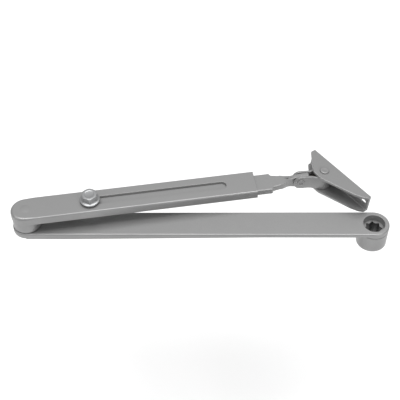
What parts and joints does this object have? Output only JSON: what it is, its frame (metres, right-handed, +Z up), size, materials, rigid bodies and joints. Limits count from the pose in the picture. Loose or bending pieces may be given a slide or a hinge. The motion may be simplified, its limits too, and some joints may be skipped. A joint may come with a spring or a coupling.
{
  "type": "door closer arm",
  "caption": "Folding arm for an overhead door closer: bar with square-drive socket, slotted length-adjustable forearm with clamp bolt, swivelling loop and frame shoe.",
  "frame": {"origin": "on the closer spindle's axis, at the bottom face of the socket hub", "axes": "+Z up along the spindle; the main arm runs from the origin along -X to the elbow; +Y is the side the forearm folds to"},
  "size_m": [0.3369, 0.0848, 0.0525],
  "materials": {
    "arm_enamel": "satin silver stoving enamel",
    "hub_enamel": "satin silver stoving enamel",
    "cover_enamel": "satin silver stoving enamel",
    "boss_enamel": "satin silver stoving enamel",
    "slide_enamel": "satin silver stoving enamel",
    "loop_enamel": "satin silver stoving enamel",
    "shoe_enamel": "satin silver stoving enamel",
    "shoe_pin_enamel": "satin silver stoving enamel",
    "pin_steel": "riveted flush and enamelled over",
    "rivet_steel": "rivet head enamelled over",
    "washer_zinc": "bright zinc plate",
    "nut_zinc": "bright zinc plate",
    "lock_washer_zinc": "bright zinc plate",
    "bolt_zinc": "bright zinc plate",
    "sleeve_zinc": "bright zinc plate",
    "bush_bronze": "sintered bronze, oiled",
    "thrust_washer_acetal": "moulded acetal, matt"
  },
  "bodies": {
    "main_arm": {"main_arm": "arm_enamel", "socket_hub": "hub_enamel", "elbow_bush": "bush_bronze"},
    "forearm": {"forearm_cover": "cover_enamel", "elbow_boss": "boss_enamel", "elbow_pin": "pin_steel", "elbow_thrust_washer": "thrust_washer_acetal", "elbow_spring_washer": "washer_zinc", "elbow_retaining_washer": "washer_zinc"},
    "slide": {"slide_channel": "slide_enamel", "clamp_nut": "nut_zinc", "clamp_lock_washer": "lock_washer_zinc"},
    "clamp": {"clamp_bolt": "bolt_zinc"},
    "loop": {"swivel_loop": "loop_enamel", "loop_bush": "bush_bronze", "tilt_sleeve": "sleeve_zinc", "tilt_rivet": "rivet_steel"},
    "shoe": {"shoe_bracket": "shoe_enamel", "shoe_pin": "shoe_pin_enamel"}
  },
  "joints": [
    {"name": "elbow", "type": "hinge", "parent": "main_arm", "child": "forearm", "pos_m": [-0.3094, 0, 0.0241], "axis": [0, 0, 1], "range_deg": [0, 341.5]},
    {"name": "length_adjust", "type": "slide", "parent": "forearm", "child": "slide", "axis": [0.9871, 0.1604, 0], "range_m": [0, 0.118]},
    {"name": "clamp_bolt_turn", "type": "hinge", "parent": "slide", "child": "clamp", "pos_m": [-0.25284, 0.00919, 0.04325], "axis": [0, 0, 1], "range_deg": [0, 360]},
    {"name": "loop_tilt", "type": "hinge", "parent": "slide", "child": "loop", "pos_m": [-0.06471, 0.03976, 0.03875], "axis": [0.1604, -0.9871, 0], "range_deg": [0, 25]},
    {"name": "shoe_swivel", "type": "hinge", "parent": "loop", "child": "shoe", "pos_m": [-0.04369, 0.04318, 0.03654], "axis": [0.0792, 0.0129, 0.9968], "range_deg": [-85, 47]}
  ]
}
